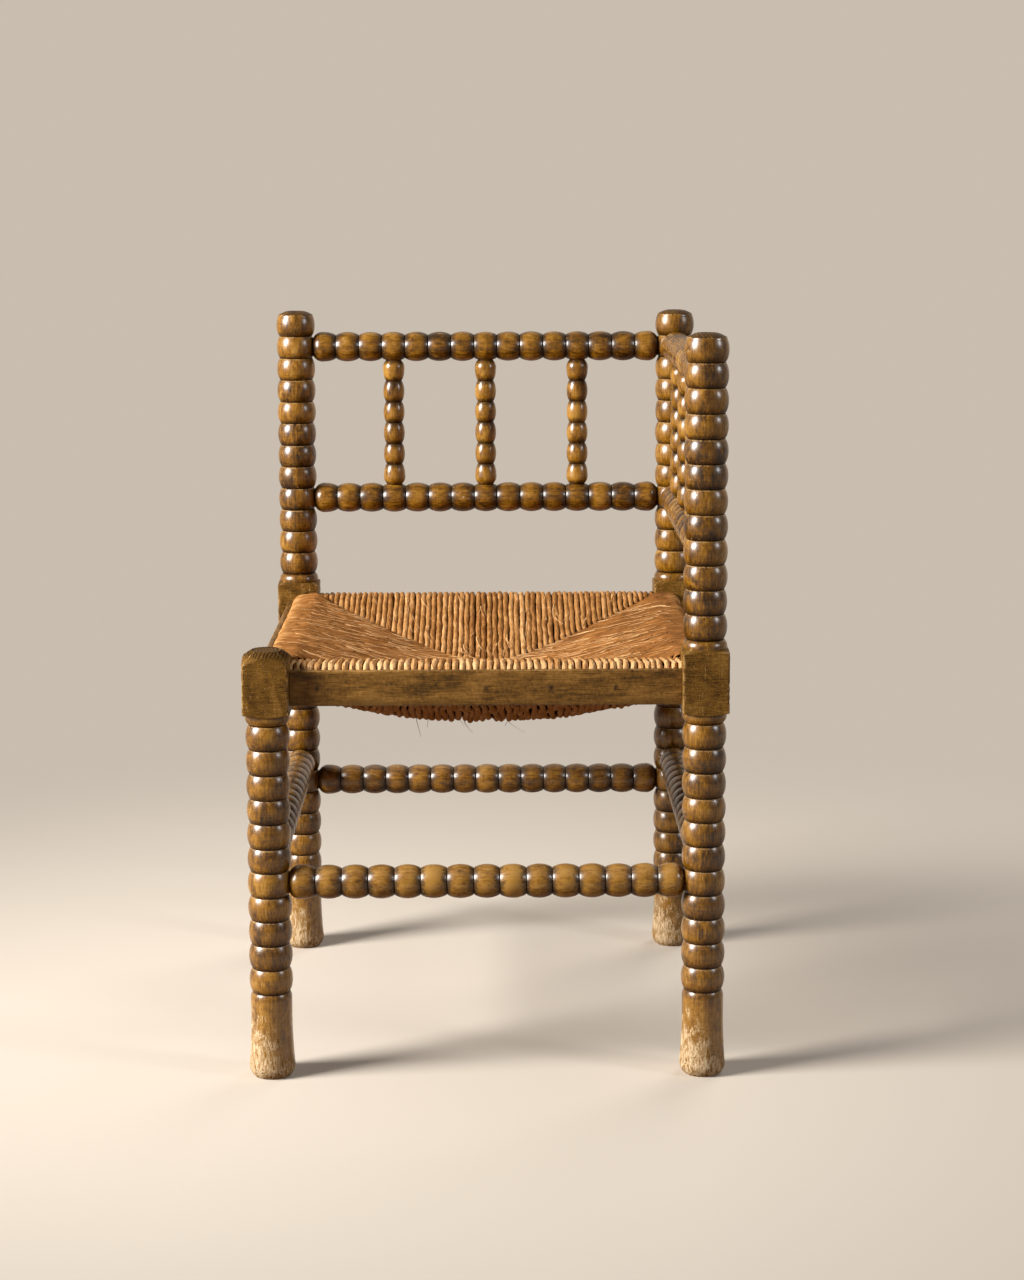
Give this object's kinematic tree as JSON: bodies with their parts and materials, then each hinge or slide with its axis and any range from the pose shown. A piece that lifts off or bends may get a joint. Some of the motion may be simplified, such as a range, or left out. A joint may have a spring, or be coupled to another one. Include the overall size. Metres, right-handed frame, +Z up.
{
  "type": "corner chair",
  "caption": "Bobbin-turned wooden corner chair with spindle backs on two adjoining sides, beaded stretchers and a dished woven rush seat edged with thin nailed strips.",
  "frame": {"origin": "on the floor, midway between the four posts", "axes": "+Z up, +Y towards the straight back, +X towards the side back, so the short post is at -X -Y"},
  "size_m": [0.456, 0.456, 0.7087],
  "materials": {
    "turned_wood": "old glossy varnish over golden brown stain, dark in the grooves",
    "strip_wood": "worn satin varnish, scratched",
    "seat_rail_wood": "bare, rough",
    "rush": "dry twisted rush, worn",
    "stuffing": "loose dry rush ends",
    "nail_iron": "dark, rusted"
  },
  "bodies": {
    "root": {"back_edging_strip": "strip_wood", "back_lower_rail": "turned_wood", "back_rush_panel": "rush", "back_seat_rail": "seat_rail_wood", "back_spindle_1": "turned_wood", "back_spindle_2": "turned_wood", "back_spindle_3": "turned_wood", "back_stretcher": "turned_wood", "back_stuffing": "stuffing", "back_top_rail": "turned_wood", "front_edging_strip": "strip_wood", "front_rush_panel": "rush", "front_seat_rail": "seat_rail_wood", "front_stretcher": "turned_wood", "front_stuffing": "stuffing", "left_edging_strip": "strip_wood", "left_rush_panel": "rush", "left_seat_rail": "seat_rail_wood", "left_stretcher": "turned_wood", "left_stuffing": "stuffing", "post_back_left": "turned_wood", "post_back_right": "turned_wood", "post_front_left": "turned_wood", "post_front_right": "turned_wood", "right_edging_strip": "strip_wood", "right_rush_panel": "rush", "right_seat_rail": "seat_rail_wood", "right_stretcher": "turned_wood", "right_stuffing": "stuffing", "side_lower_rail": "turned_wood", "side_spindle_1": "turned_wood", "side_spindle_2": "turned_wood", "side_spindle_3": "turned_wood", "side_top_rail": "turned_wood", "strip_nails": "nail_iron"}
  },
  "joints": []
}
